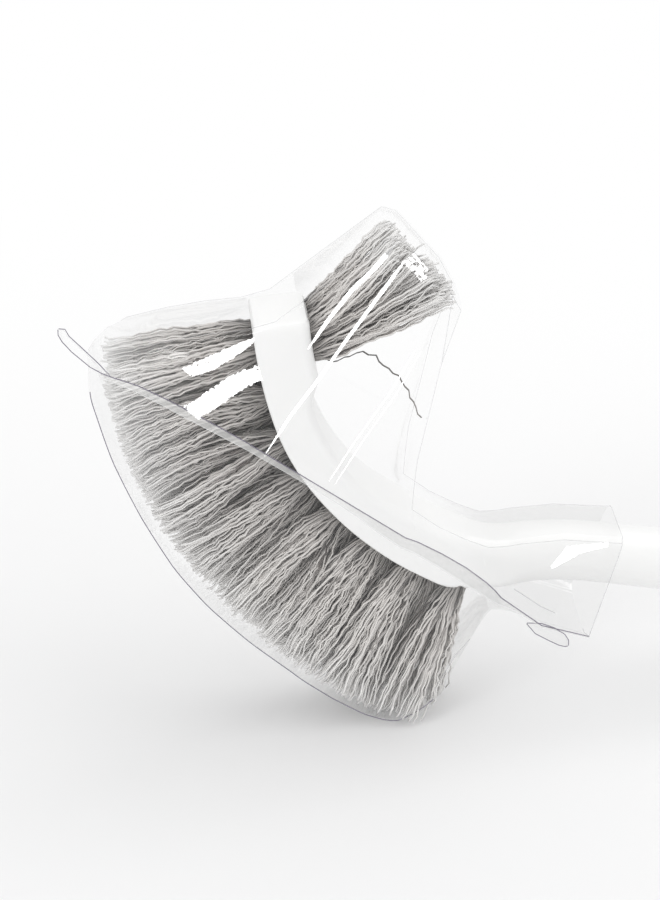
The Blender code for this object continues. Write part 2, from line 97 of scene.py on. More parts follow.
# Tufts.
TUFTS_IN_ROW = 8
FIRST_TUFT = 0.0105
TUFT_PITCH = (HEAD_LENGTH - 2 * FIRST_TUFT) / (TUFTS_IN_ROW - 1)
ROW_PITCH = 0.0075
HOLE_RADIUS = 0.0029
HOLE_SIDES = 20
DRILL_LENGTH = 0.012
DRILL_CENTRE = 0.001
BRISTLE_LENGTH = 0.051
LENGTHS = ((0, 1), (0.45, 0.99), (0.88, 1.12), (0.935, 1.09), (0.985, 0.86))
TIP_ROW_PITCH = 0.0108
TIP_TRIM = 0.003
BLOCK_LENGTH = 0.021
BLOCK_THICKNESS = 0.0182
RIM_PLACES = ((0.27, -1), (0.27, 1), (0.78, -1), (0.78, 1))
RIM_LENGTH = 0.044
RIM_ANGLE = 35
RIM_CUT_ANGLE = 41
RIM_HOLE_TURN = 10
RIM_FAN = 16
RIM_PITCH = 0.0105
RIM_TIP_PITCH = 0.0112

# One strand: WAVE_TURN, in radians, is the part of a wave from each bend to the next.
STRANDS_IN_TUFT = 120
STRAND_RADIUS = 0.00046
BENDS = 24
CRIMP = 0.0004
WAVE_TURN = math.pi / 1.3
# The crimp grows from the root, the strand thins to its tip, and a slower drift sways the whole line.
# The drift's turns and start are in radians.
SWING_AT_ROOT = 0.35
SWING_GROWTH = 3
THIN_TIP = 0.75
DRIFT = 0.00055
DRIFT_TURN = 6
DRIFT_TURN_BY_TONE = 8
DRIFT_START = 6.3
LATE_BEND = 0.4

# The strands of a tuft leave its hole side by side and gather in locks.
Lock = namedtuple("Lock", "a b phase wave lean bow")
LOCKS = 7
ROOT_SPREAD = 0.0024
ROOT_DEPTH = 0.002
# Share of the strands that lean by LOOSE_LEAN and not by STRAND_LEAN.
LOOSE_CHANCE = 0.2
# What chance gives a lock or a strand: (low, high) is an even spread, one number a bell curve's spread.
# SWING_SPREAD is in radians.
LOCK_WAVE = (0.6, 1.0)
LOCK_LEAN = 0.0022
LOCK_BOW = 0.0034
PLACE_JITTER = (-0.09, 0.09)
LOCK_PULL = (0.1, 0.55)
LOOSE_LEAN = 0.005
STRAND_LEAN = 0.0014
ACROSS_LEAN = 0.0008
STRAND_BOW = 0.0012
TIP_CUT = (0.0, 0.0026)
SWING_SPREAD = 0.5
WAVE_SPREAD = (0.6, 1.3)
PHASE_SPREAD = 0.2
EARLY_BEND = (0.22, 0.36)
# The bare side of an end tuft is tidier than the rest.
BARE_SIDE_LEAN = 0.3
BARE_SIDE_OPENING, OPENING, ACROSS_OPENING = 0.16, 0.55, 0.3
# A tuft's outside has more pale strands and its inside more dark ones, as painted shade inside the tuft;
# each tone as a middle and a spread.
OUTSIDE_ACROSS, OUTSIDE_RADIUS = 0.4, 0.86
PALE_OUTSIDE, PALE_INSIDE = 0.9, 0.55
PALE_TONE = (0.9, 0.14)
DARK_TONE = (0.12, 0.16)
# Painted light and shade: each tuft's tones are shifted paler or darker by its place along the head, as
# that part is lit.
TUFT_PAINTED_LIGHT = ((0.01, 0.0), (0.03, -0.2), (0.055, -0.2), (0.085, 0.1), (0.13, 0.14))
# Heights that the ends of the strands keep between.
LOWEST_TIP, HIGHEST_TIP = 0.0012, 0.1815

# The one strand that hangs free below the tufts of the tip block, as x and z.
STRAY_TUFT = "rim_3"
STRAY_LOOK = {"wave": 1.1, "phase": 0.3, "thin": 0.9, "tone": 0.15, "paler": 0.45, "size": 0.72}
STRAY_PLACES = (
    (-0.1281, 0.1386), (-0.1229, 0.1409), (-0.1187, 0.1425), (-0.1142, 0.1404), (-0.1116, 0.1363),
    (-0.1079, 0.1332), (-0.1049, 0.1279), (-0.1032, 0.1237), (-0.1022, 0.1214), (-0.0995, 0.1157),
)

# Film bag, in the plane of its weld: u runs from the left ear to the right one, v up and right.
SEAM_ANGLE = -37
SEAM_START = TIP + Vector((0.008548, 0, -0.042011))
WELD_GAP = 0.00002
# From here to the edges of the ears, lengths are in millimetres.
# Each row has the weld, what lies below and what lies above, as u, v and half width.
BAG_ROWS = (
    ((-62.3, -11.4, 12.1), (-62.3, -11.7, 12.0), (-62.3, -11.1, 12.0)),
    ((-61.0, -8.7, 17.2), (-62.3, -18.3, 17.2), (-59.4, 1.2, 13.0)),
    ((-52.4, -6.0, 18.3), (-53.9, -25.8, 17.2), (-50.7, 11.4, 13.0)),
    ((-41.5, -4.5, 19.1), (-40.9, -35.9, 17.2), (-42.1, 20.2, 13.0)),
    ((-30.0, -3.7, 19.4), (-22.0, -47.5, 17.2), (-33.4, 27.8, 13.0)),
    ((-20.0, -3.2, 19.5), (-3.0, -57.0, 17.2), (-27.5, 35.4, 13.0)),
    ((-12.5, -3.0, 19.5), (8.0, -61.0, 17.2), (-15.0, 79.0, 13.2)),
    ((-2.5, -3.0, 19.5), (18.0, -64.0, 17.2), (-10.5, 80.5, 13.2)),
    ((20.0, -3.0, 19.5), (36.0, -67.5, 17.2), (11.0, 75.5, 12.5)),
    ((39.5, -3.0, 19.5), (55.0, -69.6, 17.2), (19.5, 71.2, 11.5)),
    ((44.0, -3.0, 19.5), (60.0, -70.2, 17.2), (25.8, 52.8, 12.2)),
    ((48.0, -3.0, 19.5), (65.0, -70.5, 17.2), (33.2, 37.2, 12.6)),
    ((52.5, -3.0, 19.5), (69.5, -70.6, 17.2), (41.0, 20.3, 13.0)),
    ((57.2, -2.0, 19.5), (74.5, -70.7, 17.2), (50.4, 4.6, 13.0)),
    ((66.5, -1.2, 19.5), (88.0, -69.8, 17.2), (62.6, 3.9, 13.0)),
    ((76.8, -1.0, 19.5), (98.5, -65.8, 17.2), (73.7, 5.4, 13.0)),
    ((86.4, -2.0, 19.1), (103.5, -52.0, 17.0), (81.6, 7.6, 13.0)),
    ((91.0, -3.0, 18.8), (99.5, -32.0, 16.4), (86.6, 11.2, 13.0)),
    ((94.6, -4.2, 18.5), (97.5, -12.8, 15.5), (90.5, 15.0, 13.0)),
    ((113.6, -5.6, 17.9), (114.2, -7.2, 13.6), (101.2, 24.1, 13.0)),
    ((131.0, -0.6, 16.6), (131.7, -2.5, 13.5), (118.4, 34.1, 13.5)),
)
SUB_ROWS = 5
BAG_PLACES = [index / SUB_ROWS for index in range((len(BAG_ROWS) - 1) * SUB_ROWS + 1)]
FIN_WIDTHS = (
    (-62, 1.4), (-52.4, 2.2), (-34, 2.7), (-20, 2.5), (-6, 2.1), (9, 1.9), (24, 1.9), (36, 2.6), (42, 3.4),
    (57, 4.1), (69, 4.9), (79, 5.4), (90, 4.1), (100, 1.0), (131, 0.6),
)
FIN_ANGLE = 50
FIN_STEPS = 5
FIN_CURL = 0.3
FIN_WIDE = ((26, 0), (42, 1), (92, 1), (102, 0))
FILM_CORNER = 4.5
CORNER_STEPS = 5
SIDE_STEPS = 6
LOW_ROUNDNESS = 0.7
# Places in a section of the bag: the top of its far side and the bottom of its near one.
FAR_TOP = 37
NEAR_BOTTOM = 12
EAR_STEPS, EAR_LANES = 24, 6
EAR_CUP = 0.8
LEFT_EAR_DEPTH, RIGHT_EAR_DEPTH = -12, -18
LEFT_EAR_UPPER = ((-59.3, -10.7), (-64.6, -9.1), (-71.3, -7.6), (-77.9, -6.2), (-80.3, -4.9), (-82, -5.9))
LEFT_EAR_LOWER = ((-60.1, -11.3), (-66.3, -11.6), (-74.0, -10.4), (-78.5, -9.1), (-80.9, -7.8), (-82, -6.3))
RIGHT_EAR_UPPER = ((108.8, -7.5), (113.1, -4.9), (117.6, -3.9), (122.6, -3.9), (125.2, -5.0), (126.6, -6.7))
RIGHT_EAR_LOWER = ((108.9, -7.8), (113.9, -9.3), (119.0, -9.0), (123.8, -8.5), (125.9, -7.8), (126.6, -7.0))


# Values from tables, and the line that the moulding follows.

def eased(table, at):
    """Value of a (place, values...) table at this place, eased between its rows."""
    if at <= table[0][0]:
        return table[0][1:]
    for before, after in zip(table, table[1:]):
        if at <= after[0]:
            share = (at - before[0]) / (after[0] - before[0])
            share = share * share * (3 - 2 * share)
            return tuple(a + (b - a) * share for a, b in zip(before[1:], after[1:]))
    return table[-1][1:]


def straight(table, at):
    """Value of a (place, value) table at this place."""
    return float(np.interp(at, [row[0] for row in table], [row[1] for row in table]))


def unit(degrees):
    angle = math.radians(degrees)
    return Vector((math.cos(angle), 0, math.sin(angle)))


class Spine:
    """The curved line that the head, neck and handle follow."""

    def __init__(self):
        self.points = [TIP.copy()]
        while len(self.points) * PATH_STEP < NECK_END + PATH_STEP:
            middle = (len(self.points) - 0.5) * PATH_STEP
            self.points.append(self.points[-1] + unit(straight(HEADINGS, middle)) * PATH_STEP)

    def heading(self, at):
        return HANDLE_SLOPE if at >= NECK_END else straight(HEADINGS, at)

    def point(self, at):
        if at > NECK_END:
            return self.point(NECK_END) + unit(HANDLE_SLOPE) * (at - NECK_END)
        place = at / PATH_STEP
        index = max(0, min(int(place), len(self.points) - 2))
        return self.points[index].lerp(self.points[index + 1], place - index)

    def outward(self, at):
        return unit(self.heading(at) - 90)

    def inward(self, at):
        return unit(self.heading(at) + 90)

    def bristle_way(self, at):
        """Direction from the face to the end of the strands that grow here."""
        share = at / HEAD_LENGTH
        heading = straight(HEADINGS, min(at, BEND_END)) + BEND_TURN * max(0, at - BEND_END)
        return unit(heading - 90 + HEEL_TURN * share**2 + TIP_TURN * (1 - share) ** 3)

    def tip(self, at, more):
        """End of a strand that grows here, this much longer than its neighbours."""
        length = BRISTLE_LENGTH * eased(LENGTHS, at / HEAD_LENGTH)[0]
        return self.point(at) + self.bristle_way(at) * (length + more)


spine = Spine()


# Modelling by hand.

def deselect():
    bpy.ops.object.select_all(action="DESELECT")


def pick(*pieces):
    """Selects these pieces alone and makes the first one active."""
    deselect()
    for piece in pieces:
        piece.select_set(True)
    bpy.context.view_layer.objects.active = pieces[0]


def add_object(name, data):
    """Puts a new object in the scene."""
    added = bpy.data.objects.new(name, data)
    bpy.context.scene.collection.objects.link(added)
    return added


def join(name, pieces):
    pick(*pieces)
    bpy.ops.object.join()
    pieces[0].name = name
    return pieces[0]


def edit(piece):
    pick(piece)
    bpy.ops.object.mode_set(mode="EDIT")


def done():
    bpy.ops.object.mode_set(mode="OBJECT")


def face_outward():
    """Turns the normals of the piece in hand outward, and ends the editing."""
    bpy.ops.mesh.select_all(action="SELECT")
    bpy.ops.mesh.normals_make_consistent(inside=False)
    done()


def turn_selected(degrees, axis, centre=(0, 0, 0)):
    """Turns what is selected about an axis, the usual way round."""
    bpy.ops.transform.rotate(value=-math.radians(degrees), orient_axis=axis, center_override=centre)


def apply_modifier(piece, kind, **settings):
    modifier = piece.modifiers.new(kind.lower(), kind)
    for name, value in settings.items():
        setattr(modifier, name, value)
    with bpy.context.temp_override(object=piece, active_object=piece):
        bpy.ops.object.modifier_apply(modifier=modifier.name)


def shade(piece, degrees):
    pick(piece)
    bpy.ops.object.shade_smooth_by_angle(angle=math.radians(degrees))


# Finishes.

class Wire:
    """A socket of a finish that can be added, multiplied and so on."""

    def __init__(self, finish, socket):
        self.finish = finish
        self.socket = socket

    def math(self, operation, other):
        return self.finish.maths(operation, self, other)

    def __add__(self, other):
        return self.math("ADD", other)

    def __radd__(self, other):
        return self.math("ADD", other)

    def __sub__(self, other):
        return self.math("SUBTRACT", other)

    def __rsub__(self, other):
        return self.finish.maths("SUBTRACT", other, self)

    def __mul__(self, other):
        return self.math("MULTIPLY", other)

    def __rmul__(self, other):
        return self.math("MULTIPLY", other)

    def held(self, low, high):
        return self.math("MAXIMUM", low).math("MINIMUM", high)

    def step(self, low, high):
        """0 below low, 1 above high, smooth between."""
        values = {"Value": self, "From Min": low, "From Max": high}
        return self.finish.node("ShaderNodeMapRange", {"interpolation_type": "SMOOTHSTEP"}, values)


class Finish:
    """A material made of nodes."""

    def __init__(self, name):
        self.material = bpy.data.materials.new(name)
        self.material.use_nodes = True
        self.tree = self.material.node_tree
        self.tree.nodes.clear()

    def node(self, kind, settings=None, values=None, output=0):
        """Adds a node, gives its sockets their values or links, and returns one of its outputs."""
        made = self.tree.nodes.new(kind)
        for name, value in (settings or {}).items():
            if name == "stops":
                ramp = made.color_ramp
                while len(ramp.elements) < len(value):
                    ramp.elements.new(0.5)
                for element, (place, colour) in zip(ramp.elements, value):
                    element.position = place
                    element.color = (*colour, 1)
            else:
                setattr(made, name, value)
        for name, value in (values or {}).items():
            if isinstance(value, Wire):
                self.tree.links.new(value.socket, made.inputs[name])
            else:
                made.inputs[name].default_value = value
        return None if output is None else Wire(self, made.outputs[output])

    def maths(self, operation, first, second):
        return self.node("ShaderNodeMath", {"operation": operation}, {0: first, 1: second})

    def place(self, stretch=(1, 1, 1), turn=(0, 0, 0)):
        """Object coordinates, turned and stretched."""
        coordinates = self.node("ShaderNodeTexCoord", output="Object")
        values = {"Vector": coordinates, "Rotation": turn, "Scale": stretch}
        return self.node("ShaderNodeMapping", {}, values)

    def noise(self, scale, detail=2.0, where=None, output=0, roughness=0.5):
        values = {"Vector": where or self.place(), "Scale": scale, "Detail": detail, "Roughness": roughness}
        return self.node("ShaderNodeTexNoise", {}, values, output)

    def blend(self, share, first, second):
        """Colour between two colours: the numbers are the Mix node's sockets for its share and colours."""
        return self.node("ShaderNodeMix", {"data_type": "RGBA"}, {0: share, 6: first, 7: second}, 2)

    def mix(self, share, under, over):
        """Surface that shows this share of the one over it."""
        return self.node("ShaderNodeMixShader", {}, {0: share, 1: under, 2: over})

    def attribute(self, name):
        return self.node("ShaderNodeAttribute", {"attribute_name": name}, output="Fac")

    def coordinate(self, axis):
        return self.node("ShaderNodeSeparateXYZ", {}, {0: self.place()}, axis)

    def ray(self, kind):
        """1 for rays of this kind, 0 for the others."""
        return self.node("ShaderNodeLightPath", output=f"Is {kind} Ray")

    def fresnel(self, index, normal):
        return self.node("ShaderNodeFresnel", {}, {"IOR": index, "Normal": normal})

    def bump(self, height, distance, strength=1.0):
        values = {"Height": height, "Distance": distance, "Strength": strength}
        return self.node("ShaderNodeBump", {}, values)

    def skin(self, **values):
        """Principled surface."""
        named = {name.replace("_", " "): value for name, value in values.items()}
        return self.node("ShaderNodeBsdfPrincipled", {}, named)

    def out(self, surface):
        """Ends the material with this surface."""
        self.node("ShaderNodeOutputMaterial", {}, {"Surface": surface}, None)
        return self.material


def white_plastic():
    """Moulded white plastic: soft gloss, a trace of cloud in the colour and a fine skin."""
    finish = Finish("white_plastic")
    cloud = finish.noise(38, 3)
    skin = finish.noise(900, 2)
    flow = finish.noise(60, 2, finish.place((1, 1, 0.3), (0, 0.6, 0)))
    colour = finish.blend(cloud, (0.855, 0.856, 0.852, 1), (0.885, 0.885, 0.878, 1))
    roughness = 0.27 + 0.1 * flow
    normal = finish.bump(skin + 2 * flow, 0.00003, 0.6)
    surface = finish.skin(
        Base_Color=colour, Roughness=roughness, Normal=normal, IOR=1.5,
        Coat_Weight=0.15, Coat_Roughness=0.12,
    )
    return finish.out(surface)


def bristle_fibre():
    """Warm grey crimped filament: tone picks a dark or a pale strand, and both are paler to the tip. The
    dark strands and the darkening towards the root are painted shade in the tufts.
    """
    finish = Finish("bristle_fibre")
    along = finish.attribute("along")
    tone = finish.attribute("tone")
    # Painted shade: a dark strand stands for one in the shade deep in its tuft, and both ramps darken
    # towards the root, where the tuft shades itself.
    shaded_strand_stops = (
        (0.0, (0.012, 0.010, 0.009)), (0.2, (0.022, 0.018, 0.017)), (0.36, (0.13, 0.113, 0.105)),
        (0.62, (0.46, 0.437, 0.423)), (1.0, (0.74, 0.73, 0.72)),
    )
    outer = (
        (0.0, (0.2, 0.187, 0.178)), (0.13, (0.40, 0.38, 0.362)), (0.3, (0.70, 0.672, 0.646)),
        (0.7, (0.79, 0.766, 0.742)), (1.0, (0.87, 0.862, 0.85)),
    )
    dark, pale = (
        finish.node("ShaderNodeValToRGB", {"stops": stops}, {"Fac": along}) for stops in (shaded_strand_stops, outer)
    )
    colour = finish.blend(tone, dark, pale)
    speck = finish.noise(700, 1)
    surface = finish.skin(
        Base_Color=colour, Roughness=0.34 + 0.2 * speck, IOR=1.5, Normal=finish.bump(speck, 0.00004, 0.5),
    )
    return finish.out(surface)


def anchor_steel():
    """Drawn steel of the plates in the holes."""
    finish = Finish("anchor_steel")
    lines = finish.noise(500, 3, finish.place((1, 8, 8)))
    surface = finish.skin(
        Base_Color=finish.blend(lines, (0.5, 0.5, 0.5, 1), (0.66, 0.66, 0.65, 1)),
        Roughness=0.25 + 0.25 * lines, Metallic=1.0, Normal=finish.bump(lines, 0.00002),
    )
    return finish.out(surface)


def over_clear(finish, share, surface):
    """Lets this share of the light meet the surface and the rest pass."""
    clear = finish.node("ShaderNodeBsdfTransparent", {}, {"Color": (1, 1, 1, 1)})
    return finish.mix(share, clear, surface)


def let_light_in(finish, surface):
    """Thin film doesn't dim what is in the bag."""
    passing = finish.ray("Shadow").math("MAXIMUM", finish.ray("Diffuse"))
    return over_clear(finish, 1 - passing, surface)


def mirror(finish, normal, roughness):
    """Gloss of a film's surface."""
    return finish.skin(Base_Color=(1, 1, 1, 1), Metallic=1.0, Roughness=roughness, Normal=normal)


def clear_film():
    """Thin clear film: seen by its gloss, with faint puckers and a trace of haze. The haze is whiter at the
    left end, a painted sheen, and grey over the neck, painted shade.
    """
    finish = Finish("clear_film")
    pucker = finish.noise(45, 2, finish.place((1, 1, 1), (0, 0.65, 0)))
    fine = finish.noise(230, 2, finish.place((1, 0.4, 1)))
    normal = finish.bump(pucker + 0.1 * fine, 0.0004, 0.5)
    gloss = finish.fresnel(1.4, normal).held(0, 0.16)
    # Painted light: white haze at the left end of the bag is painted sheen, and the grey haze over the neck
    # is painted shade.
    end = finish.coordinate("X")
    neck_painted_shade = end.step(-0.1, -0.072)
    left_end_painted_sheen = 1 - end.step(-0.212, -0.168)
    haze_and_painted_light = 0.006 + 0.014 * finish.noise(32, 2).step(0.45, 0.75) + 0.2 * left_end_painted_sheen + 0.11 * neck_painted_shade
    colour = finish.blend(neck_painted_shade, (0.93, 0.93, 0.935, 1), (0.5, 0.5, 0.495, 1))
    cloudy = finish.skin(Base_Color=colour, Roughness=0.4)
    surface = finish.mix(gloss, over_clear(finish, haze_and_painted_light, cloudy), mirror(finish, normal, 0.06))
    return finish.out(let_light_in(finish, surface))


def glossy_fold():
    """Tight flat of film that catches the light, ragged where across nears 1. Its faint milky body is
    partly creased film's whitening and partly painted highlight.
    """
    finish = Finish("glossy_fold")
    across = finish.attribute("across")
    ripple = finish.noise(350, 1)
    ragged = finish.noise(900, 2)
    inside = 1 - (across + 0.8 * (ragged - 0.5)).step(0.8, 0.96)
    normal = finish.bump(ripple, 0.00006, 0.4)
    gloss = (7 * finish.fresnel(1.5, normal)).held(0, 0.8)
    # The faint milky body is partly the whitening of creased film and partly a painted highlight on the
    # flats.
    cloudy = finish.skin(Base_Color=(0.9, 0.9, 0.92, 1), Roughness=0.3)
    body = over_clear(finish, inside * (0.06 + 0.12 * ripple), cloudy)
    surface = finish.mix(gloss * inside, body, mirror(finish, normal, 0.1))
    return finish.out(let_light_in(finish, surface))


def welded_film():
    """Two layers of film melted together: greyer where it is wide, with a paler free edge."""
    finish = Finish("welded_film")
    across = finish.attribute("across")
    wide = finish.attribute("wide")
    ripple = finish.noise(420, 2, finish.place((1, 1, 1), (0, 0.65, 0)))
    normal = finish.bump(ripple, 0.0004, 0.6)
    rim = across.step(0.8, 1.0)
    cover = (0.4 + 0.2 * rim + 0.14 * ripple).held(0, 0.9)
    grey = finish.blend(wide, (0.74, 0.74, 0.73, 1), (0.58, 0.58, 0.575, 1))
    colour = finish.blend(rim, grey, (0.8, 0.8, 0.81, 1))
    cloudy = finish.skin(Base_Color=colour, Roughness=0.15 + 0.1 * ripple, IOR=1.5, Normal=normal)
    gloss = finish.fresnel(1.5, normal).held(0, 0.5)
    surface = finish.mix(gloss, over_clear(finish, cover, cloudy), mirror(finish, normal, 0.1))
    return finish.out(let_light_in(finish, surface))


def film_line(name, colour, share):
    """Edge or fold of film seen end on: a thin line, darker than what is behind it. The darkness is painted
    shade for how film looks seen end on.
    """
    finish = Finish(name)
    broken = finish.noise(260, 2)
    line = finish.skin(Base_Color=(*colour, 1), Roughness=0.25 + 0.2 * broken, IOR=1.5)
    return finish.out(over_clear(finish, (share * (0.5 + broken)).held(0, 0.95), line))


# Moulding.

def add_ring(at):
    """A rounded rectangle across the moulding, drawn flat, then stood up and carried to its place."""
    offset, width, thickness, inner_corner, outer_corner = eased(HEAD_ROWS, at)
    heading = spine.heading(at)
    bpy.ops.mesh.primitive_plane_add(size=1)
    bpy.ops.transform.resize(value=(width, thickness, 1))
    select_flat(lambda place: place.y > 0)
    bpy.ops.mesh.bevel(offset=inner_corner, segments=CORNER_SEGMENTS, affect="VERTICES")
    select_flat(lambda place: abs(place.y + thickness / 2) < ON_LINE)
    bpy.ops.mesh.bevel(offset=outer_corner, segments=CORNER_SEGMENTS, affect="VERTICES")
    select_flat(lambda place: True)
    turn_selected(90, "Z")
    turn_selected(90 - heading, "Y")
    centre = spine.point(at) + spine.inward(at) * (offset + thickness / 2)
    bpy.ops.transform.translate(value=centre)
    return centre, unit(heading)


def select_flat(wanted):
    """Selects the wanted corners of the outline that is still flat at the origin."""
    mesh = bmesh.from_edit_mesh(bpy.context.edit_object.data)
    for vertex in mesh.verts:
        place = vertex.co
        vertex.select = abs(place.z) < FLAT and abs(place.x) < FLAT_REACH and wanted(place)
    mesh.select_flush_mode()


def ring_places():
    places = []
    for before, after in zip(HEAD_ROWS, HEAD_ROWS[1:]):
        step = HEAD_STATION if before[0] < NECK_END else HANDLE_STATION
        count = max(1, round((after[0] - before[0]) / step))
        places += [before[0] + (after[0] - before[0]) * index / count for index in range(count)]
    return places + [HEAD_ROWS[-1][0]]


def model_moulding():
    """Rings joined by skins and closed at both ends."""
    piece = add_object("moulding", bpy.data.meshes.new("moulding"))
    edit(piece)
    places = ring_places()
    centres, ways = [], []
    for index, at in enumerate(places):
        centre, way = add_ring(at)
        centres.append(centre)
        ways.append(way)
        if 0 < index < len(places) - 1:
            bpy.ops.mesh.delete(type="ONLY_FACE")
    done()
    gaps = np.array([vertex.co for vertex in piece.data.vertices])[:, None] - np.array(centres)[None]
    off_plane = np.abs((gaps * np.array(ways)[None]).sum(axis=2))
    off_plane += np.linalg.norm(gaps, axis=2) > RING_REACH
    owner = off_plane.argmin(axis=1).tolist()
    for index in range(len(places) - 1):
        edit(piece)
        bpy.ops.mesh.select_mode(type="EDGE")
        bpy.ops.mesh.select_all(action="DESELECT")
        done()
        for edge in piece.data.edges:
            first, second = (owner[corner] for corner in edge.vertices)
            edge.select = first == second and index <= first <= index + 1
        edit(piece)
        bpy.ops.mesh.bridge_edge_loops()
        done()
    edit(piece)
    face_outward()
    return piece


class Tuft:
    """A tuft's hole and direction, where its strands end, its bare side if it has one, and its painted
    light and shade.
    """

    def __init__(self, name, place, way, tip_of, edge=0, painted_light=0.0):
        self.name = name
        self.place = place
        self.way = way
        self.along = ACROSS.cross(way).normalized()
        self.tip_of = tip_of
        self.edge = edge
        self.painted_light = painted_light


def main_tufts():
    tufts = []
    for row, side in (("near", -1), ("middle", 0), ("far", 1)):
        for index in range(TUFTS_IN_ROW - (side == 0)):
            at = FIRST_TUFT + (TUFT_PITCH / 2 if side == 0 else 0) + index * TUFT_PITCH

            def tip_of(a, b, at=at, side=side):
                across = side * TIP_ROW_PITCH + b * TIP_ROW_PITCH / 2
                tip = spine.tip(at - a * TUFT_PITCH / 2, -TIP_TRIM * (across / (TIP_ROW_PITCH * 1.5)) ** 2)
                return tip + Vector((0, across, 0))

            place = spine.point(at) + Vector((0, side * ROW_PITCH, 0))
            edge = (index == 0) - (index == TUFTS_IN_ROW - 1)
            painted_light = straight(TUFT_PAINTED_LIGHT, at)
            tufts.append(Tuft(f"{row}_{index + 1}", place, spine.outward(at), tip_of, edge, painted_light))
    return tufts


def rim_place(share):
    at = BLOCK_LENGTH * share
    return spine.point(at) + spine.inward(at) * BLOCK_THICKNESS


def rim_tufts():
    tufts = []
    for index, (share, side) in enumerate(RIM_PLACES):
        place = rim_place(share)
        middle = RIM_ANGLE + RIM_FAN / 2 * (1 if share < 0.5 else -1)

        def tip_of(a, b, place=place, side=side, middle=middle):
            across = side * RIM_TIP_PITCH / 2 + b * RIM_TIP_PITCH / 2
            cut, way = unit(RIM_CUT_ANGLE), unit(middle - a * RIM_FAN / 2)
            trim = -TIP_TRIM * (across / RIM_TIP_PITCH) ** 2
            reach = RIM_LENGTH + trim - (place - rim_place(0.5)).dot(cut)
            return place + way * reach / way.dot(cut) + Vector((0, across, 0))

        here = place + Vector((0, side * RIM_PITCH / 2, 0))
        edge = -1 if share < 0.5 else 1
        tufts.append(Tuft(f"rim_{index + 1}", here, unit(middle - RIM_HOLE_TURN), tip_of, edge))
    return tufts


def drill_holes(piece, tufts):
    """Bores a hole for each tuft."""
    drills = []
    for tuft in tufts:
        deselect()
        bpy.ops.mesh.primitive_cylinder_add(
            vertices=HOLE_SIDES, radius=HOLE_RADIUS, depth=DRILL_LENGTH,
            location=tuft.place - tuft.way * DRILL_CENTRE,
            rotation=tuft.way.to_track_quat("Z", "Y").to_euler(),
        )
        drills.append(bpy.context.object)
    drill = join("drill", drills)
    apply_modifier(piece, "BOOLEAN", object=drill, operation="DIFFERENCE", solver="EXACT")
    bpy.data.objects.remove(drill, do_unlink=True)


# Strands.

def model_strand():
    """One crimped strand of three sides, a bend at each ring: its length runs from 0 to 1 along Z."""
    deselect()
    bpy.ops.mesh.primitive_circle_add(vertices=3, radius=STRAND_RADIUS, fill_type="NGON")
    strand = bpy.context.object
    strand.name = "strand"
    edit(strand)
    for bend in range(BENDS):
        shift = CRIMP * (math.sin((bend + 1) * WAVE_TURN) - math.sin(bend * WAVE_TURN))
        bpy.ops.mesh.extrude_region_move(TRANSFORM_OT_translate={"value": (shift, 0, 1 / BENDS)})
    face_outward()
    return strand


def sunflower(count):
    """Evenly spread points (a, b) of the unit disc."""
    turn = math.pi * (3 - math.sqrt(5))
    for index in range(count):
        radius = math.sqrt((index + 0.5) / count)
        yield radius * math.cos(index * turn), radius * math.sin(index * turn)


class StrandMaker:
    """Lays copies of the one strand along their own lines and gathers them in a mesh."""

    def __init__(self, strand):
        mesh = strand.data
        points = np.array([vertex.co for vertex in mesh.vertices])
        self.ring = np.rint(points[:, 2] * BENDS).astype(int)
        self.middle = np.array([points[self.ring == ring].mean(axis=0) for ring in range(BENDS + 1)])
        self.round = points - self.middle[self.ring]
        self.wave = self.middle[:, 0] - self.middle[:, 0].mean()
        self.faces = [tuple(face.vertices) for face in mesh.polygons]

    def start(self):
        self.vertices, self.polygons, self.along, self.tone = [], [], [], []

    def lay(self, line, side, across, wave, phase, thin, tone, paler=1.0, size=1.0):
        """line gives the point at a share; side and across are the strand's own directions."""
        shares = np.clip((np.arange(BENDS + 1) + phase - 0.5) / BENDS, 0, 1)
        swing = np.minimum(1, SWING_AT_ROOT + shares * SWING_GROWTH)
        turns = shares * (DRIFT_TURN + DRIFT_TURN_BY_TONE * tone) + DRIFT_START * phase
        drift = DRIFT * np.sin(turns)
        centres = np.array([line(share) for share in shares])
        centres += np.outer(self.wave * wave * swing, side) + np.outer(drift * swing, side)
        thickness = size * (1 - (1 - thin) * shares**2)
        around = np.outer(self.round[:, 0], side) + np.outer(self.round[:, 1], across)
        first = len(self.along)
        placed = centres[self.ring] + around * thickness[self.ring][:, None]
        self.vertices += placed.tolist()
        self.polygons += [tuple(first + corner for corner in face) for face in self.faces]
        self.along += (shares[self.ring] * paler).tolist()
        self.tone += [tone] * len(self.ring)

    def finish(self, name, material):
        mesh = bpy.data.meshes.new(name)
        mesh.from_pydata(self.vertices, [], self.polygons)
        for label, values in (("along", self.along), ("tone", self.tone)):
            mesh.attributes.new(label, "FLOAT", "POINT").data.foreach_set("value", values)
        mesh.shade_smooth()
        mesh.materials.append(material)
        return add_object(name, mesh)


def curve_between(root, way, tip, bend, bow):
    """Cubic line that leaves the root along a direction, bows to a side and runs out to the tip."""
    length = (tip - root).length
    early, late = root + way * length * bend, tip - (tip - root) * LATE_BEND + bow
    points = [np.array(point) for point in (root, early, late, tip)]

    def line(share):
        rest = 1 - share
        return (
            rest**3 * points[0] + 3 * rest**2 * share * points[1]
            + 3 * rest * share**2 * points[2] + share**3 * points[3]
        )

    return line


def stray_line(tuft):
    """Line of the one strand that hangs free below the tufts of the tip block."""
    points = [np.array(tuft.place - tuft.way * ROOT_DEPTH)]
    points += [np.array((x, tuft.place.y, z)) for x, z in STRAY_PLACES]
    steps = [0.0]
    for before, after in zip(points, points[1:]):
        steps.append(steps[-1] + float(np.linalg.norm(after - before)))

    def line(share):
        return np.array([np.interp(share * steps[-1], steps, axis) for axis in zip(*points)])

    return line


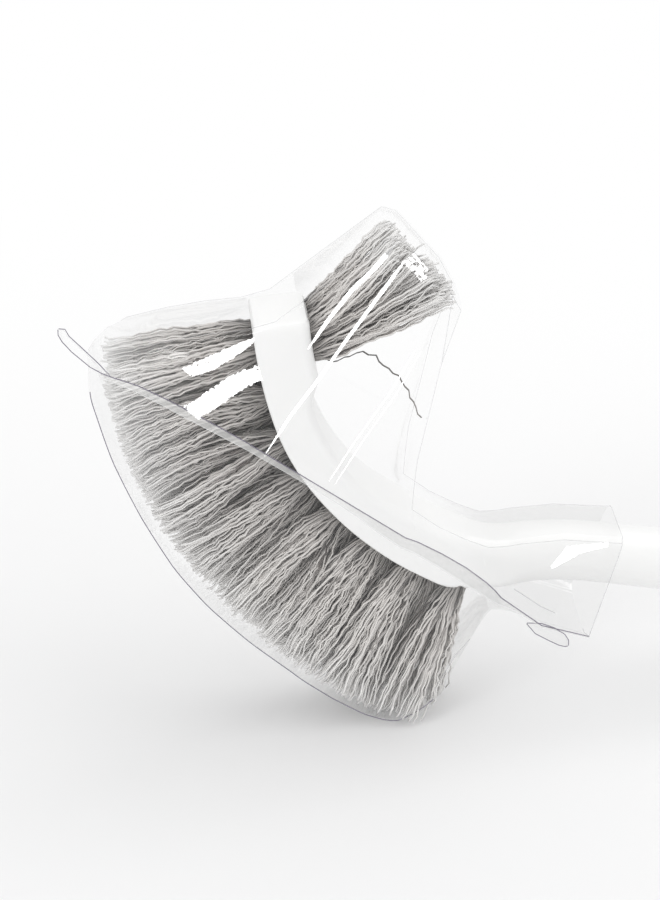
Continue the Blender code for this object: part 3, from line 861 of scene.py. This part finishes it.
def lay_strand(tuft, maker, locks, a, b, chance):
    """One strand, from its place (a, b) in the hole to the brush's outer surface."""
    a += chance.uniform(*PLACE_JITTER)
    b += chance.uniform(*PLACE_JITTER)
    lock = min(locks, key=lambda near: (near.a - a) ** 2 + (near.b - b) ** 2)
    pull = chance.uniform(*LOCK_PULL)
    root = tuft.place + tuft.along * (a * ROOT_SPREAD) + ACROSS * (b * ROOT_SPREAD) - tuft.way * ROOT_DEPTH
    tip = tuft.tip_of(a + (lock.a - a) * pull, b + (lock.b - b) * pull)
    way = (tip - root).normalized()
    loose = LOOSE_LEAN if chance.random() < LOOSE_CHANCE else STRAND_LEAN
    tip = tip - way * chance.uniform(*TIP_CUT)
    bare = a * tuft.edge > 0
    lean = (0 if bare else lock.lean) + chance.gauss(0, loose) * (BARE_SIDE_LEAN if bare else 1)
    tip += tuft.along * lean + ACROSS * chance.gauss(0, ACROSS_LEAN)
    tip.z = min(max(tip.z, LOWEST_TIP), HIGHEST_TIP)
    turn = chance.gauss(0, SWING_SPREAD)
    swing = ACROSS.cross(way).normalized() * math.cos(turn) + ACROSS * math.sin(turn)
    # Painted shade: strands inside the tuft are more often dark, and each tuft's painted light and shade
    # shifts the tone.
    outside = abs(b) > OUTSIDE_ACROSS or math.hypot(a, b) > OUTSIDE_RADIUS
    pale = chance.random() < (PALE_OUTSIDE if outside else PALE_INSIDE)
    opening = BARE_SIDE_OPENING if bare else OPENING
    splay = (tuft.way + tuft.along * (a * opening) + ACROSS * (b * ACROSS_OPENING)).normalized()
    bow = tuft.along * (0 if bare else lock.bow + chance.gauss(0, STRAND_BOW))
    line = curve_between(root, splay, tip, chance.uniform(*EARLY_BEND), bow)
    phase = (lock.phase + chance.gauss(0, PHASE_SPREAD)) % 1
    tone = chance.gauss(*(PALE_TONE if pale else DARK_TONE)) + tuft.painted_light
    tone = max(0.0, min(1.0, tone))
    wave = lock.wave * chance.uniform(*WAVE_SPREAD)
    maker.lay(line, np.array(swing), np.array(swing.cross(way)), wave, phase, THIN_TIP, tone)


def model_tuft(tuft, maker, material, seed):
    """Strands that leave the hole side by side and gather in locks."""
    chance = random.Random(seed)
    maker.start()
    locks = []
    for a, b in sunflower(LOCKS):
        phase, wave = chance.random(), chance.uniform(*LOCK_WAVE)
        locks.append(Lock(a, b, phase, wave, chance.gauss(0, LOCK_LEAN), chance.gauss(0, LOCK_BOW)))
    for a, b in sunflower(STRANDS_IN_TUFT):
        lay_strand(tuft, maker, locks, a, b, chance)
    if tuft.name == STRAY_TUFT:
        maker.lay(stray_line(tuft), np.array(V_WAY), np.array(ACROSS), **STRAY_LOOK)
    piece = maker.finish("bristles_" + tuft.name, material)
    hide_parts("tuft_" + tuft.name)
    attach(piece, "root")


# Film bag.

U_WAY = unit(SEAM_ANGLE)
V_WAY = unit(SEAM_ANGLE + 90)


def bag_point(u, y, v):
    """Point of the bag from millimetres in the weld's plane."""
    return SEAM_START + (U_WAY * u + V_WAY * v + Vector((0, y, 0))) / 1000


def rounded(a, b, c, d, share):
    """Value between b and c on the smooth curve that also goes through a and d."""
    return 0.5 * (
        2 * b + (c - a) * share
        + (2 * a - 5 * b + 4 * c - d) * share**2 + (3 * b - a - 3 * c + d) * share**3
    )


def bag_row(place):
    """Weld, low and high (u, v, half) at a place between rows. The low one follows a rounder line."""
    index = min(int(place), len(BAG_ROWS) - 2)
    share = place - index
    weld, low, high = (
        [a + (b - a) * share for a, b in zip(before, after)]
        for before, after in zip(BAG_ROWS[index], BAG_ROWS[index + 1])
    )
    around = [BAG_ROWS[max(0, min(index + step, len(BAG_ROWS) - 1))][1] for step in (-1, 0, 1, 2)]
    smooth = [rounded(*values, share) for values in zip(*around)]
    low = [(1 - LOW_ROUNDNESS) * a + LOW_ROUNDNESS * b for a, b in zip(low, smooth)]
    return weld, low, high


def round_corner(height, half, degrees):
    """Point (y, v) of the bag's rounded corner, at this angle up or down from its side."""
    rise = math.copysign(min(FILM_CORNER, abs(height) / 2), height)
    angle = math.radians(degrees)
    return half + FILM_CORNER * (math.cos(angle) - 1), height + rise * (math.sin(angle) - 1)


def corner_points(height, half):
    return [round_corner(height, half, 90 * step / CORNER_STEPS) for step in range(CORNER_STEPS + 1)]


def spread(first, second):
    """Points from the first up to, but not with, the second."""
    shares = [step / SIDE_STEPS for step in range(SIDE_STEPS)]
    return [tuple(a + (b - a) * share for a, b in zip(first, second)) for share in shares]


def in_section(weld, far, y, v):
    """Point (u, y, v) of a section that leans from its weld to its low or high end."""
    lean = (far[0] - weld[0]) / (far[1] - weld[1])
    return weld[0] + lean * v, y, weld[1] + v


def bag_section(place):
    """Closed line (u, y, v) of the bag at a row: from the weld round the bottom, far side and top."""
    weld, low, high = bag_row(place)
    near_weld, far_weld = (-weld[2], 0), (weld[2], 0)
    bottom = corner_points(low[1] - weld[1], low[2])
    top = corner_points(high[1] - weld[1], high[2])
    near_bottom, near_top = ([(-y, v) for y, v in corner] for corner in (bottom, top))
    points = spread(near_weld, near_bottom[0]) + near_bottom
    points += spread(near_bottom[-1], bottom[-1])[1:] + bottom[::-1]
    points += spread(bottom[0], far_weld)[1:] + spread(far_weld, top[0]) + top
    points += spread(top[-1], near_top[-1])[1:] + near_top[::-1]
    points += spread(near_top[0], near_weld)[1:] + [near_weld]
    return [in_section(weld, low if v < 0 else high, y, v) for y, v in points]


def sheet_piece(name, rows, material):
    """A grid whose points are these rows of points."""
    deselect()
    across, down = len(rows[0]), len(rows)
    bpy.ops.mesh.primitive_grid_add(x_subdivisions=across - 1, y_subdivisions=down - 1, size=1)
    piece = bpy.context.object
    piece.name = name
    places = [point for row in rows for point in row]
    for vertex, point in zip(piece.data.vertices, places):
        vertex.co = point
    piece.data.materials.append(material)
    return piece


def share_attribute(piece, name, values):
    piece.data.attributes.new(name, "FLOAT", "POINT").data.foreach_set("value", values)


def model_bag(material):
    """The body of the bag, joined to itself along the weld."""
    rows = [[bag_point(*point) for point in bag_section(place)] for place in BAG_PLACES]
    piece = sheet_piece("film_bag", rows, material)
    edit(piece)
    bpy.ops.mesh.select_all(action="SELECT")
    bpy.ops.mesh.remove_doubles(threshold=WELD_GAP)
    face_outward()
    return piece


def model_fin(material):
    """Strip of the two layers melted together, from the weld outwards."""
    rows, across, wide = [], [], []
    angle = math.radians(FIN_ANGLE)
    for place in BAG_PLACES:
        u, v, half = bag_row(place)[0]
        width = straight(FIN_WIDTHS, u)
        row = []
        for step in range(FIN_STEPS + 1):
            share = step / FIN_STEPS
            y = -half - math.cos(angle) * width * share - FIN_CURL * math.sin(share * math.pi)
            row.append(bag_point(u, y, v - math.sin(angle) * width * share))
            across.append(share)
            wide.append(straight(FIN_WIDE, u))
        rows.append(row)
    piece = sheet_piece("film_weld", rows, material)
    share_attribute(piece, "across", across)
    share_attribute(piece, "wide", wide)
    return piece


def leaf(upper, lower, steps, lanes):
    """Rows of (share along, share across, point) that fill the space between two edges."""
    rows = []
    for step in range(steps + 1):
        along = step / steps
        first, second = (
            [float(np.interp(along * (len(edge) - 1), range(len(edge)), axis)) for axis in zip(*edge)]
            for edge in (upper, lower)
        )
        shares = [lane / lanes for lane in range(lanes + 1)]
        rows.append([
            (along, share, [a + (b - a) * share for a, b in zip(first, second)]) for share in shares
        ])
    return rows


def model_ear(name, upper, lower, depth, material):
    """Leaf of film between two edges, cupped in the middle."""
    rows = [
        [bag_point(u, depth + EAR_CUP * math.sin(share * math.pi), v) for _, share, (u, v) in row]
        for row in leaf(upper, lower, EAR_STEPS, EAR_LANES)
    ]
    return sheet_piece(name, rows, material)


# Folds, edges and highlights of the film. Pixels are places in the picture that are carried on to the bag.
# LENS, SENSOR and WELD_LIFT are in millimetres, EYE_TURN and EYE_RISE in radians.

PICTURE_WIDTH, PICTURE_HEIGHT = 660, 900
LENS, SENSOR = 100, 36
FOCAL_PIXELS = PICTURE_HEIGHT * LENS / SENSOR
EYE_TARGET = Vector((-0.128843, 0.001446, 0.102988))
EYE_DISTANCE = 0.825
EYE_TURN = math.radians(-5.5)
EYE_RISE = math.radians(30)
EYE_BACK = Vector((
    math.sin(EYE_TURN) * math.cos(EYE_RISE), -math.cos(EYE_TURN) * math.cos(EYE_RISE), math.sin(EYE_RISE),
))
EYE = EYE_TARGET + EYE_BACK * EYE_DISTANCE
EYE_RIGHT = Vector((math.cos(EYE_TURN), math.sin(EYE_TURN), 0))
EYE_UP = EYE_BACK.cross(EYE_RIGHT)
SIDE_LAMP = Vector((-0.98, -0.62, 0.42))
CARD_LAMP = Vector((-0.262, -1.075, 0.573))
# Folds that show the side lamp: pixels, and a width in millimetres.
FOLD_LANES = (-1, -0.4, 0.4, 1)
FOLD_TAPER = 0.35
FOLD_END, FOLD_END_GROWTH = 0.25, 6
FOLD_LIFT = 0.0001
SIDE_FOLDS = (
    (((397, 242), (374, 268), (351, 291), (328, 320), (308, 349)), 1.7),
    (((410, 253), (379, 295), (345, 341), (319, 378), (290, 416), (264, 456)), 1.3),
    (((415, 350), (389, 394), (355, 441), (329, 481)), 0.45),
    (((421, 351), (396, 394), (362, 442), (335, 484)), 0.3),
)
# Flats that show the card lamp: the pixels of their two edges, and the least that their gloss fades.
FACET_STEPS, FACET_LANES = 12, 8
FACET_END_FADE = 0.86
FACET_FRONT = 0.85
CARD_FACETS = (
    (
        ((181, 368), (203, 358), (229, 347), (254, 337)),
        ((193, 378), (214, 370), (236, 357), (254, 343)), 0.74,
    ),
    (
        ((182, 407), (205, 392), (232, 374), (258, 364)),
        ((199, 420), (222, 405), (246, 388), (263, 381)), 0.66,
    ),
    (((403, 262), (409, 257), (414, 253)), ((424, 284), (427, 277), (429, 270)), 0.87),
    (((551, 566), (566, 546), (608, 542)), ((552, 569), (582, 553), (608, 547)), 0.7),
)
# Pixels between the points of a fold and of a crease, then the thin lines of film.
FOLD_STEP, CREASE_STEP = 6, 8
LINE_THICKNESS = 0.0003
OUTER_FOLD_THICKNESS = 0.00034
TOP_THICKNESS = 0.0002
CREASE_THICKNESS = 0.00026
OUTER_FOLD_TURN, TOP_TURN = 60, 45
OUTER_FOLD_ROWS, TOP_ROWS = (1, 16), (1, 20)
WELD_LIFT = 0.15
CREASES = (
    ((453, 296), (446, 338), (438, 386), (430, 432)),
    ((494, 611), (484, 620), (470, 639), (455, 656), (434, 690)),
    ((503, 614), (493, 625), (479, 644), (464, 661), (446, 684)),
    ((514, 589), (528, 598), (540, 606), (555, 613)),
)


def eye_way(x, y):
    """Direction from the eye through a pixel of the picture."""
    right = (x - PICTURE_WIDTH / 2) / FOCAL_PIXELS
    down = (y - PICTURE_HEIGHT / 2) / FOCAL_PIXELS
    return (EYE_RIGHT * right - EYE_UP * down - EYE_BACK).normalized()


def surface_of(piece):
    vertices = [vertex.co for vertex in piece.data.vertices]
    return BVHTree.FromPolygons(vertices, [tuple(face.vertices) for face in piece.data.polygons])


def put_on(surface, pixel):
    """Point of the surface, and its normal, behind a pixel."""
    place, normal, _, _ = surface.ray_cast(EYE, eye_way(*pixel))
    return place, normal


def glint_normal(place, lamp):
    """The normal that a facet needs to show the lamp to the eye."""
    return ((EYE - place).normalized() + (lamp - place).normalized()).normalized()


def along_line(pixels, step):
    """Pixels this far apart along a line of straight stretches."""
    points = []
    for (x0, y0), (x1, y1) in zip(pixels, pixels[1:]):
        count = max(1, round(math.hypot(x1 - x0, y1 - y0) / step))
        points += [(x0 + (x1 - x0) * i / count, y0 + (y1 - y0) * i / count) for i in range(count)]
    return points + [pixels[-1]]


def model_fold(name, surface, pixels, width, material):
    """Narrow flat that lies along a fold and leans to the light."""
    hits = [put_on(surface, pixel) for pixel in along_line(pixels, FOLD_STEP)]
    hits = [hit for hit in hits if hit[0]]
    rows = []
    for index, (place, normal) in enumerate(hits):
        before, after = hits[max(0, index - 1)][0], hits[min(len(hits) - 1, index + 1)][0]
        way = (after - before).normalized()
        lean = glint_normal(place, SIDE_LAMP)
        lean = (lean - way * lean.dot(way)).normalized()
        side = way.cross(lean)
        share = index / (len(hits) - 1)
        to_end = min(share, 1 - share)
        half = width / 2000 * (1 - FOLD_TAPER * share) * min(1, FOLD_END + FOLD_END_GROWTH * to_end)
        if normal.dot(EYE_BACK) < 0:
            normal = -normal
        lift = half * math.sqrt(max(0, 1 - lean.dot(normal) ** 2)) + FOLD_LIFT
        centre = place + normal * lift
        rows.append([centre + side * half * lane for lane in FOLD_LANES])
    piece = sheet_piece(name, rows, material)
    share_attribute(piece, "across", [0.0] * len(piece.data.vertices))
    return piece


def model_facet(name, surface, upper, lower, fade, material):
    """Taut flat between two edges, tipped to show the card lamp, near the front of the bag there."""
    grid = leaf(upper, lower, FACET_STEPS, FACET_LANES)
    spots = [put_on(surface, pixel)[0] for row in grid for _, _, pixel in row]
    spots = [place for place in spots if place]
    lean = glint_normal(sum(spots, Vector()) / len(spots), CARD_LAMP)
    front = sorted(place.dot(lean) for place in spots)[int(FACET_FRONT * len(spots))]
    rows, across = [], []
    for row in grid:
        ways = [eye_way(*pixel) for _, _, pixel in row]
        rows.append([EYE + way * ((front - EYE.dot(lean)) / way.dot(lean)) for way in ways])
        for along, share, _ in row:
            across.append(max(fade, abs(2 * share - 1), FACET_END_FADE * abs(2 * along - 1)))
    piece = sheet_piece(name, rows, material)
    share_attribute(piece, "across", across)
    return piece


def model_line(name, points, thickness, material):
    """Round line of film through these points."""
    curve = bpy.data.curves.new(name, "CURVE")
    curve.dimensions = "3D"
    curve.bevel_depth = thickness / 2
    curve.bevel_resolution = 1
    curve.use_fill_caps = True
    spline = curve.splines.new("POLY")
    spline.points.add(len(points) - 1)
    for spot, point in zip(spline.points, points):
        spot.co = (*point, 1)
    pick(add_object(name, curve))
    bpy.ops.object.convert(target="MESH")
    piece = bpy.context.object
    piece.data.materials.append(material)
    return piece


def bag_corner(part, side, first, last, turn):
    """Points down the bag's rounded corner: part is low or high, side is -1 near and 1 far."""
    points = []
    for place in BAG_PLACES[first * SUB_ROWS:last * SUB_ROWS + 1]:
        weld, low, high = bag_row(place)
        far = low if part == "low" else high
        y, v = round_corner(far[1] - weld[1], far[2], turn)
        points.append(bag_point(*in_section(weld, far, side * y, v)))
    return points


def weld_line():
    """Line just outside the weld, where the fin begins."""
    welds = [bag_row(place)[0] for place in BAG_PLACES]
    return [bag_point(u, -half - WELD_LIFT, v + WELD_LIFT / 2) for u, v, half in welds]


def model_folds(surface, material):
    """Folds and flats that shine, as one piece."""
    pieces = []
    for number, (pixels, width) in enumerate(SIDE_FOLDS):
        pieces.append(model_fold(f"fold_{number}", surface, pixels, width, material))
    for number, (upper, lower, fade) in enumerate(CARD_FACETS):
        pieces.append(model_facet(f"facet_{number}", surface, upper, lower, fade, material))
    return join("film_folds", pieces)


def model_edges(material):
    """Dark lines, painted shade where the film is seen end on: the weld's root, the outer fold and the
    ears.
    """
    outer_fold = bag_corner("low", -1, *OUTER_FOLD_ROWS, OUTER_FOLD_TURN)
    pieces = [
        model_line("weld_root", weld_line(), LINE_THICKNESS, material),
        model_line("outer_fold", outer_fold, OUTER_FOLD_THICKNESS, material),
    ]
    ears = (
        (LEFT_EAR_DEPTH, LEFT_EAR_UPPER, LEFT_EAR_LOWER),
        (RIGHT_EAR_DEPTH, RIGHT_EAR_UPPER, RIGHT_EAR_LOWER),
    )
    for depth, *edges in ears:
        for edge in edges:
            points = [bag_point(u, depth, v) for u, v in edge]
            pieces.append(model_line("ear_edge", points, LINE_THICKNESS, material))
    return join("film_edges", pieces)


def model_creases(surface, pale, darker):
    """Faint lines of painted shade: the bag's top corners, its mouth, and its creases, the first of them
    the palest.
    """
    pieces = [
        model_line(name, bag_corner("high", side, *TOP_ROWS, TOP_TURN), TOP_THICKNESS, pale)
        for name, side in (("near_top", -1), ("far_top", 1))
    ]
    mouth = [bag_point(*point) for point in bag_section(len(BAG_ROWS) - 1)]
    pieces.append(model_line("mouth_edge", mouth[FAR_TOP:] + mouth[1:NEAR_BOTTOM], LINE_THICKNESS, pale))
    for number, pixels in enumerate(CREASES):
        points = [put_on(surface, pixel)[0] for pixel in along_line(pixels, CREASE_STEP)]
        points = [point for point in points if point]
        pieces.append(model_line(f"crease_{number}", points, CREASE_THICKNESS, darker if number else pale))
    return join("film_creases", pieces)


# Stage.

FLOOR_SIZE = 8
FLOOR_DROP = 0.0001
ROOM_LIGHT = 0.82
LAMP_AIM = Vector((-0.1, 0, 0.08))
LAMPS = (
    ("side_lamp", SIDE_LAMP, (0.3, 0.6), 4.0),
    ("card_lamp", CARD_LAMP, (0.22, 0.18), 4.5),
    ("top_lamp", Vector((0.4, 0.08, 1.22)), (1.3, 1.2), 1.05),
)


def floor_paper():
    """Pale paper sweep, its colour painted paler towards the back. Far behind the brush it is shown as
    white, but gives no more light.
    """
    finish = Finish("floor_paper")
    far = finish.coordinate("Y").step(0.02, 0.42)
    # Painted light: the paper's colour grows paler towards the back, where the sweep is more brightly lit.
    colour = finish.blend(far, (0.86, 0.86, 0.862, 1), (0.93, 0.93, 0.93, 1))
    paper = finish.skin(Base_Color=colour, Roughness=0.75)
    glow = finish.node("ShaderNodeEmission", {}, {"Color": (1, 1, 1, 1), "Strength": 1.0})
    shown = far * finish.ray("Camera").math("MAXIMUM", finish.ray("Glossy"))
    return finish.out(finish.mix(shown, paper, glow))


def add_floor():
    deselect()
    bpy.ops.mesh.primitive_plane_add(size=FLOOR_SIZE, location=(0, 0, -FLOOR_DROP))
    floor = bpy.context.object
    floor.name = "floor"
    floor.data.transform(floor.matrix_world)
    floor.matrix_world.identity()
    floor.data.materials.append(floor_paper())


def add_lamp(name, place, size, brightness):
    """Oblong soft lamp."""
    data = bpy.data.lights.new(name, "AREA")
    data.shape = "RECTANGLE"
    data.size, data.size_y = size
    data.energy = brightness * math.pi * size[0] * size[1]
    lamp = add_object(name, data)
    lamp.location = place
    lamp.rotation_euler = (LAMP_AIM - place).to_track_quat("-Z", "Y").to_euler()


def studio_light(strength):
    """Even white light, shown at full white to the eye and in reflections."""
    world = bpy.data.worlds.new("studio")
    world.use_nodes = True
    tree = world.node_tree
    tree.nodes.clear()
    path = tree.nodes.new("ShaderNodeLightPath")
    seen = tree.nodes.new("ShaderNodeMath")
    seen.operation = "MAXIMUM"
    tree.links.new(path.outputs["Is Camera Ray"], seen.inputs[0])
    tree.links.new(path.outputs["Is Glossy Ray"], seen.inputs[1])
    mix = tree.nodes.new("ShaderNodeMixShader")
    tree.links.new(seen.outputs[0], mix.inputs[0])
    for socket, level in ((1, strength), (2, 1.0)):
        light = tree.nodes.new("ShaderNodeBackground")
        light.inputs["Color"].default_value = (1, 1, 1, 1)
        light.inputs["Strength"].default_value = level
        tree.links.new(light.outputs[0], mix.inputs[socket])
    out = tree.nodes.new("ShaderNodeOutputWorld")
    tree.links.new(mix.outputs[0], out.inputs["Surface"])
    return world


def add_camera():
    """Looks down 30 degrees at the head from just left of square on."""
    data = bpy.data.cameras.new("camera")
    data.lens = LENS
    data.sensor_width = SENSOR
    data.clip_start = 0.01
    camera = add_object("camera", data)
    camera.location = EYE
    camera.rotation_euler = (math.radians(90) - EYE_RISE, 0, EYE_TURN)
    bpy.context.scene.camera = camera


# Making.

HARD_SMOOTH, FILM_SMOOTH = 35, 40
FIRST_SEED = 100

add_camera()
tufts = main_tufts() + rim_tufts()
moulding = model_moulding()
drill_holes(moulding, tufts)
shade(moulding, HARD_SMOOTH)
moulding.data.materials.append(white_plastic())
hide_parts("head_and_handle")
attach(moulding, "root")

fibre = bristle_fibre()
strand = model_strand()
maker = StrandMaker(strand)
bpy.data.objects.remove(strand, do_unlink=True)
for number, tuft in enumerate(tufts):
    model_tuft(tuft, maker, fibre, FIRST_SEED + number)

steel = anchor_steel()
for name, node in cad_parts.items():
    if name.startswith("anchor"):
        node.data.materials.clear()
        node.data.materials.append(steel)

film, welded, glossy = clear_film(), welded_film(), glossy_fold()
# Painted shade: these lines darken the film where it is seen end on.
dark_line = film_line("dark_line", (0.2, 0.18, 0.24), 0.85)
pale_line = film_line("pale_line", (0.5, 0.5, 0.52), 0.22)
crease_line = film_line("crease_line", (0.55, 0.55, 0.56), 0.42)
bag = model_bag(film)
fin = model_fin(welded)
left_ear = model_ear("film_ear_left", LEFT_EAR_UPPER, LEFT_EAR_LOWER, LEFT_EAR_DEPTH, film)
right_ear = model_ear("film_ear_right", RIGHT_EAR_UPPER, RIGHT_EAR_LOWER, RIGHT_EAR_DEPTH, film)
surface = surface_of(bag)
folds = model_folds(surface, glossy)
edges = model_edges(dark_line)
creases = model_creases(surface, pale_line, crease_line)
for piece in (bag, fin, left_ear, right_ear, folds, edges, creases):
    shade(piece, FILM_SMOOTH)
    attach(piece, "root")
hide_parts("film_cover")

add_floor()
for lamp in LAMPS:
    add_lamp(*lamp)
bpy.context.scene.world = studio_light(ROOM_LIGHT)
bpy.context.scene.view_settings.view_transform = "Standard"
